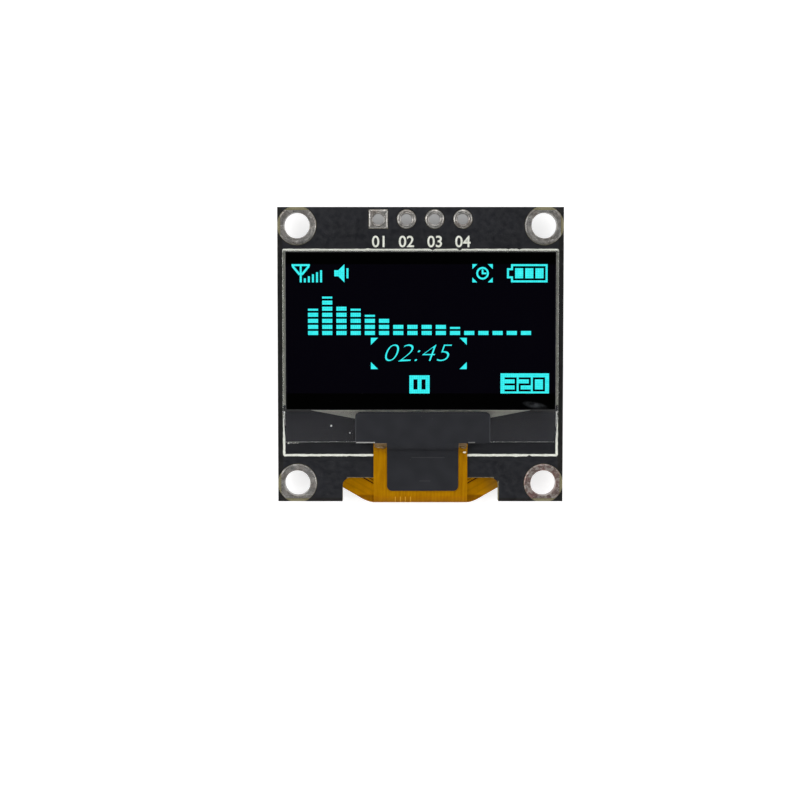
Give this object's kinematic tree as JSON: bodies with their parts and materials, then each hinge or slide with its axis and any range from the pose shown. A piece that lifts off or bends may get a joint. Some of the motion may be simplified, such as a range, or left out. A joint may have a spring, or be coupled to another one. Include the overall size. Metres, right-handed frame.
{
  "type": "small oled module",
  "caption": "Small monochrome OLED display module: glass panel with a lit picture on a black circuit board, with corner mounting holes, a header row and a folded flex cable.",
  "frame": {"origin": "on the board's centre line, in the plane under the tallest part on the back, below the middle of the module", "axes": "+Z out of the display, +Y towards the header row, +X to the right as seen from the front"},
  "size_m": [0.0258, 0.0268, 0.0037],
  "materials": {
    "laminate": "satin",
    "solder_mask": "satin",
    "tin": "satin",
    "ink": "matte",
    "adhesive": "matte",
    "glass": "polished",
    "seal": "satin",
    "trace": "satin",
    "film": "gloss",
    "lit": "gloss",
    "silicon": "gloss",
    "polyimide": "gloss",
    "glue": "satin",
    "solder": "satin",
    "tape": "satin",
    "epoxy": "matte",
    "lead": "satin",
    "capacitor": "satin",
    "resistor": "satin"
  },
  "bodies": {
    "root": {"circuit_board": "laminate", "front_mask": "solder_mask", "back_mask": "solder_mask", "mounting_ring_1": "tin", "mounting_ring_2": "tin", "mounting_ring_3": "tin", "mounting_ring_4": "tin", "header_pad_1": "tin", "header_pad_2": "tin", "header_pad_3": "tin", "header_pad_4": "tin", "front_print": "ink", "back_print": "ink", "adhesive_pad": "adhesive", "cap_glass": "glass", "front_glass": "glass", "seal_frame": "seal", "trace_fan": "trace", "polarizer_film": "film", "status_icons": "lit", "level_bars": "lit", "player_marks": "lit", "driver_chip": "silicon", "flex_cable": "polyimide", "flex_glue": "glue", "flex_joints": "solder", "chip_solder": "solder", "black_tape": "tape", "regulator_body": "epoxy", "diode_body": "epoxy", "regulator_leads": "lead", "diode_leads": "lead", "capacitor_1": "capacitor", "capacitor_2": "capacitor", "capacitor_3": "capacitor", "capacitor_4": "capacitor", "capacitor_5": "capacitor", "capacitor_6": "capacitor", "capacitor_7": "capacitor", "resistor_1": "resistor", "resistor_2": "resistor", "resistor_3": "resistor", "resistor_4": "resistor", "resistor_5": "resistor", "resistor_6": "resistor"}
  },
  "joints": []
}
